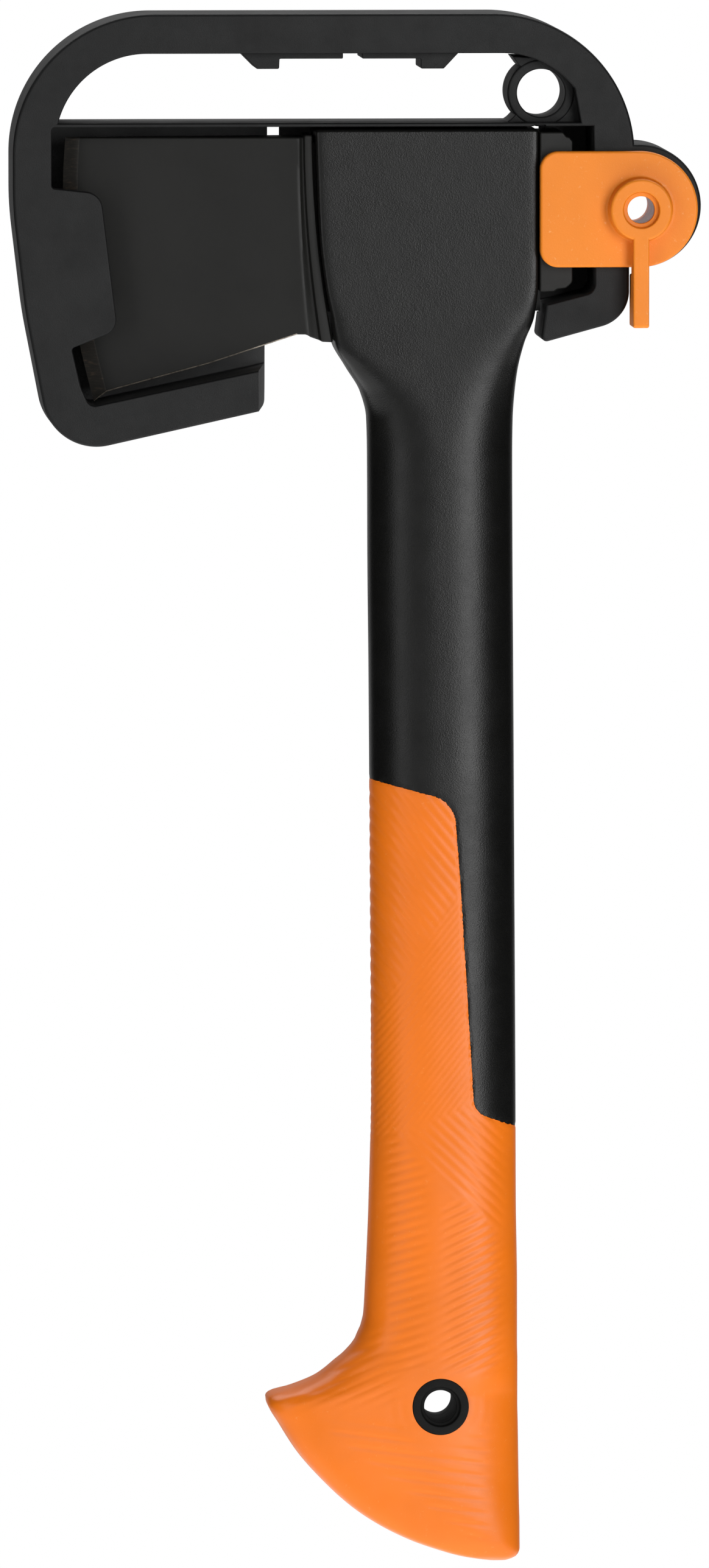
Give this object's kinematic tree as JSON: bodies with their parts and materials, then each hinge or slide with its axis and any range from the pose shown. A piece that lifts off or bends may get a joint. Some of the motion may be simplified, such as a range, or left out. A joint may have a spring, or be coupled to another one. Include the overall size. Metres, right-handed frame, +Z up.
{
  "type": "sheathed hatchet",
  "caption": "Short hatchet with a moulded handle and soft grip, locked in an open carry sheath with a bar handle, hang ring and turning latch.",
  "frame": {"origin": "hang point: middle of the flat in the notch under the carry bar, on the hatchet's centre plane", "axes": "+Z up, from the pommel to the carry bar; -Y is the open side with the latch; the cutting edge faces -X"},
  "size_m": [0.1697, 0.036, 0.384],
  "materials": {
    "coated_steel": "dark matte coated forging, slightly lighter ground bevel",
    "handle_plastic": "black fibre-reinforced moulding, fine leather grain",
    "grip_plastic": "orange soft overmould, fine engraved grooves",
    "sheath_plastic": "charcoal moulding, fine spark-eroded grain",
    "latch_plastic": "orange satin moulding",
    "pivot_plastic": "orange satin moulding"
  },
  "bodies": {
    "sheathed_hatchet": {"axe_head": "coated_steel", "handle_core": "handle_plastic", "handle_grip": "grip_plastic", "sheath_body": "sheath_plastic"},
    "latch": {"latch": "latch_plastic", "latch_pivot": "pivot_plastic"}
  },
  "joints": [
    {"name": "latch_turn", "type": "hinge", "parent": "sheathed_hatchet", "child": "latch", "pos_m": [0.0705, 0, -0.0384], "axis": [0, -1, 0], "range_deg": [0, 100]}
  ]
}
